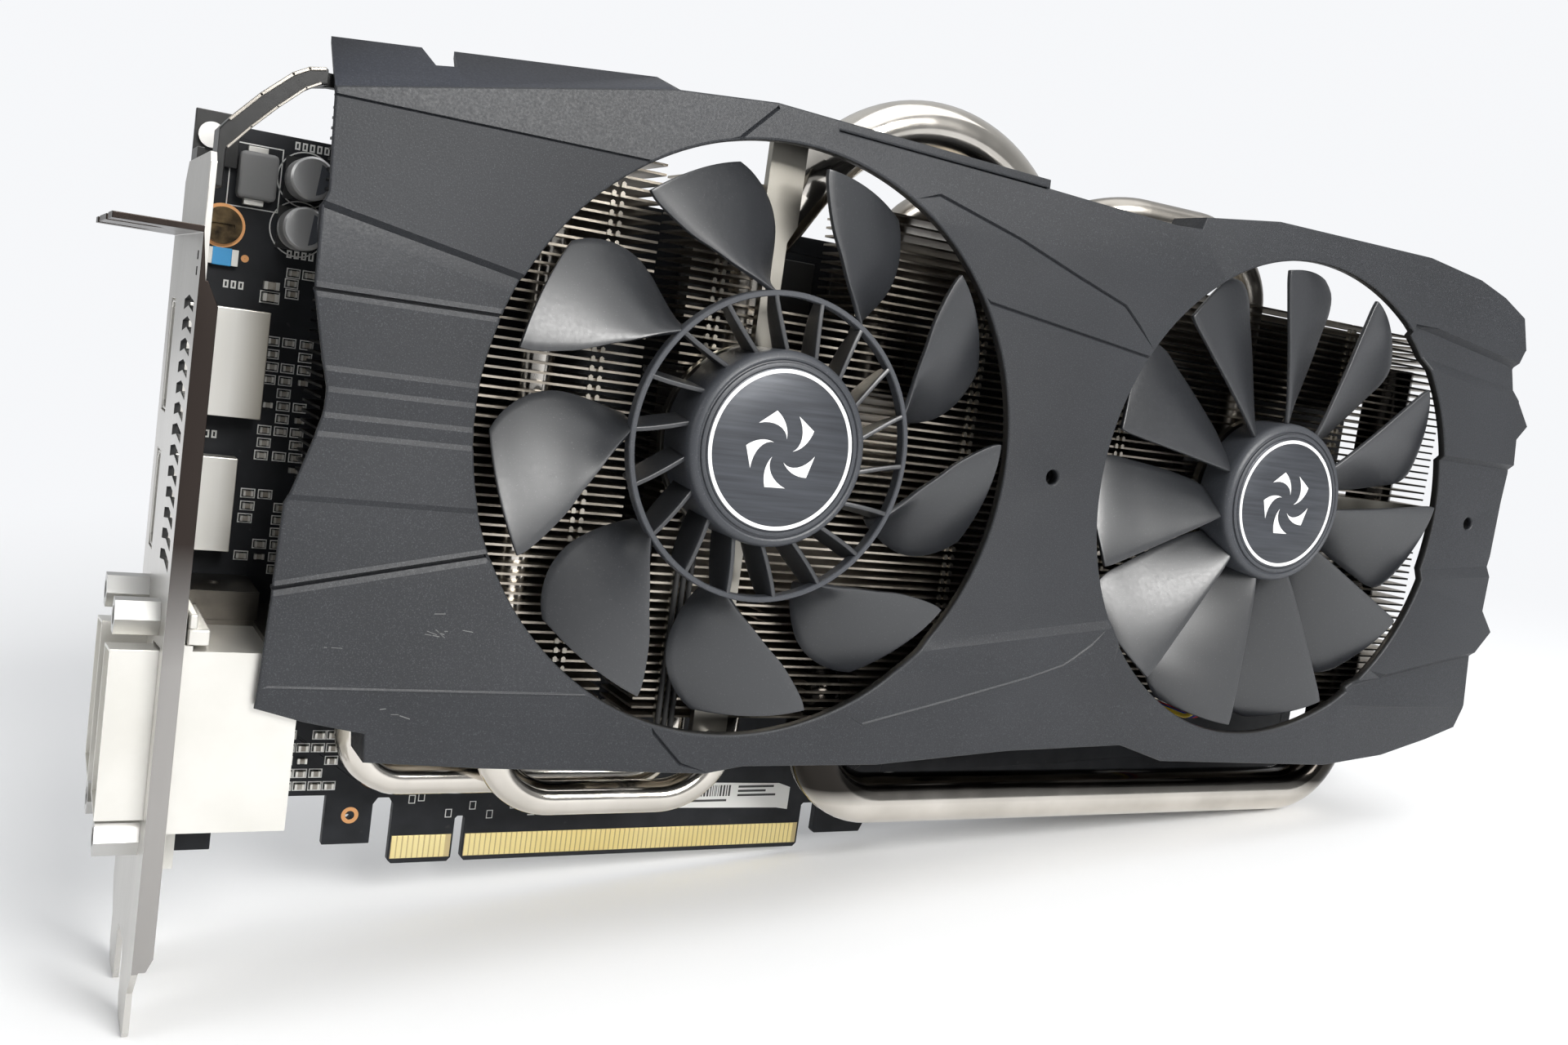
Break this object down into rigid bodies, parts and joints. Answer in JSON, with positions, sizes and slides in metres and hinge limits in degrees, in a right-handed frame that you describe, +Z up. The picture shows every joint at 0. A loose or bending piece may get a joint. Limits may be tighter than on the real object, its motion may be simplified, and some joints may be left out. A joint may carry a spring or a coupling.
{
  "type": "graphics card",
  "caption": "Dual-slot expansion card with a board, slot bracket, finned cooler with bent heat pipes and a sheet shroud over axial fans.",
  "frame": {"origin": "on the slot bracket's outer face, level with the bottom of the gold edge and the board's component face", "axes": "+X from the bracket along the board to its tail, +Y from the fans towards the board's back, +Z up from the gold edge"},
  "size_m": [0.304, 0.0431, 0.1652],
  "materials": {
    "black_steel": "semi gloss",
    "screw_steel": "bright",
    "base_metal": "machined",
    "capacitor": "satin",
    "choke_grey": "sintered",
    "nickel_steel": "bright nickel",
    "connector_metal": "satin tin",
    "connector_black": "plain",
    "connector_white": "plain",
    "gold": "plated",
    "lead_rubber": "insulation",
    "fin_aluminium": "mill",
    "chip": "moulded",
    "pipe_nickel": "polished nickel",
    "bearing_bronze": "sintered",
    "frame_steel": "satin nickel",
    "fan_black": "satin",
    "fan_label": "brushed print",
    "magnet": "bonded",
    "stator": "wound",
    "board_black": "satin solder mask",
    "shroud_charcoal": "fine speckle",
    "small_part": "ceramic",
    "sticker_white": "paper"
  },
  "bodies": {
    "card": {"backplate": "black_steel", "backplate_screws": "screw_steel", "base_block": "base_metal", "board_screws": "screw_steel", "bracket_brace": "black_steel", "can_capacitors": "capacitor", "chokes": "choke_grey", "corner_ear": "black_steel", "cross_plate": "nickel_steel", "cross_plate_screws": "screw_steel", "displayport_shell": "connector_metal", "displayport_tongue": "connector_black", "dvi_housing": "connector_metal", "dvi_inserts": "connector_white", "dvi_shells": "connector_metal", "edge_contacts": "gold", "fan_headers": "connector_white", "fan_leads": "lead_rubber", "fins_left": "fin_aluminium", "fins_mid": "fin_aluminium", "fins_right": "fin_aluminium", "gpu_package": "chip", "hdmi_shell": "connector_metal", "hdmi_tongue": "connector_black", "heatpipe_a": "pipe_nickel", "heatpipe_b": "pipe_nickel", "heatpipe_c": "pipe_nickel", "heatpipe_d": "pipe_nickel", "heatpipe_e": "pipe_nickel", "io_bracket": "nickel_steel", "jackscrews": "nickel_steel", "left_fan_bearing": "bearing_bronze", "left_fan_frame": "frame_steel", "left_fan_stator": "stator", "memory_chips": "chip", "mosfets": "chip", "pcb": "board_black", "power_pins_6": "nickel_steel", "power_pins_8": "nickel_steel", "power_socket_6": "connector_black", "power_socket_8": "connector_black", "right_fan_bearing": "bearing_bronze", "right_fan_frame": "black_steel", "right_fan_stator": "stator", "shroud": "shroud_charcoal", "shroud_screws": "screw_steel", "small_parts": "small_part", "sticker": "sticker_white", "vrm_sink": "black_steel"},
    "left_fan": {"left_fan_impeller": "fan_black", "left_fan_label": "fan_label", "left_fan_magnet": "magnet", "left_fan_shaft": "screw_steel"},
    "right_fan": {"right_fan_impeller": "fan_black", "right_fan_label": "fan_label", "right_fan_magnet": "magnet", "right_fan_shaft": "screw_steel"}
  },
  "joints": [
    {"name": "left_fan_spin", "type": "hinge", "parent": "card", "child": "left_fan", "pos_m": [0.0923, -0.03, 0.0847], "axis": [0, -1, 0], "continuous": true},
    {"name": "right_fan_spin", "type": "hinge", "parent": "card", "child": "right_fan", "pos_m": [0.2156, -0.03, 0.0851], "axis": [0, -1, 0], "continuous": true}
  ]
}
